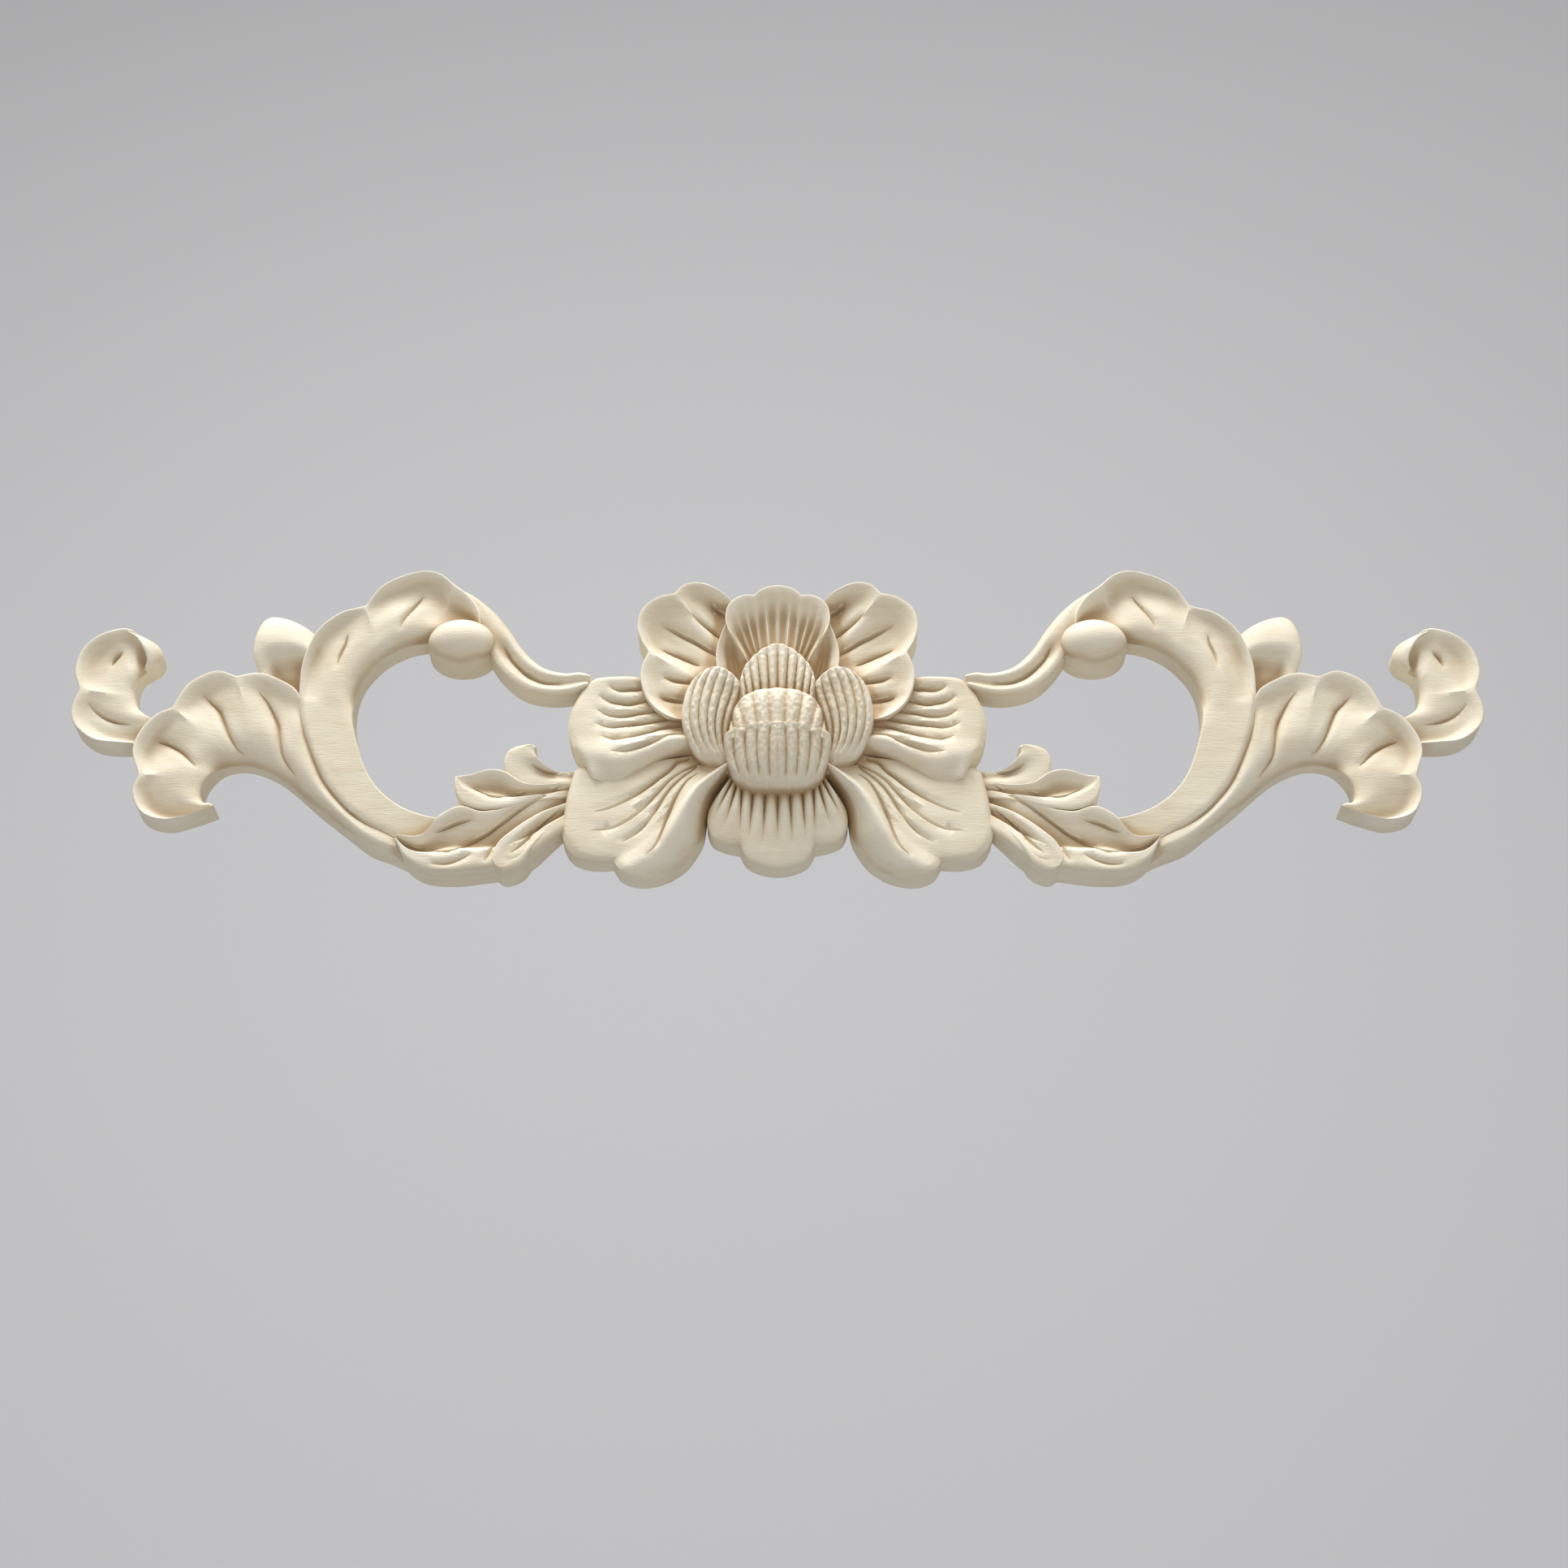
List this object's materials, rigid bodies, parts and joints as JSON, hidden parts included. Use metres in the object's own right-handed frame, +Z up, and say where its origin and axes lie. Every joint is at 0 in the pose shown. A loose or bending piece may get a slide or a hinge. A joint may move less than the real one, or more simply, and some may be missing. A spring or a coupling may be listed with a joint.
{
  "type": "carved wood applique",
  "caption": "Pale carved wood onlay with a flat back: an open peony in the middle and a scrolled acanthus branch to each side, for glueing to furniture.",
  "frame": {"origin": "on the flat back, in the middle of its length and of its height, behind the flower", "axes": "+X along the length, +Y out of the flat back towards what carries it, +Z up; the carving faces -Y"},
  "size_m": [0.4, 0.021, 0.095],
  "materials": {
    "wood": "pale close-grained wood, sanded and left bare, matt"
  },
  "bodies": {
    "root": {"applique": "wood"}
  },
  "joints": []
}
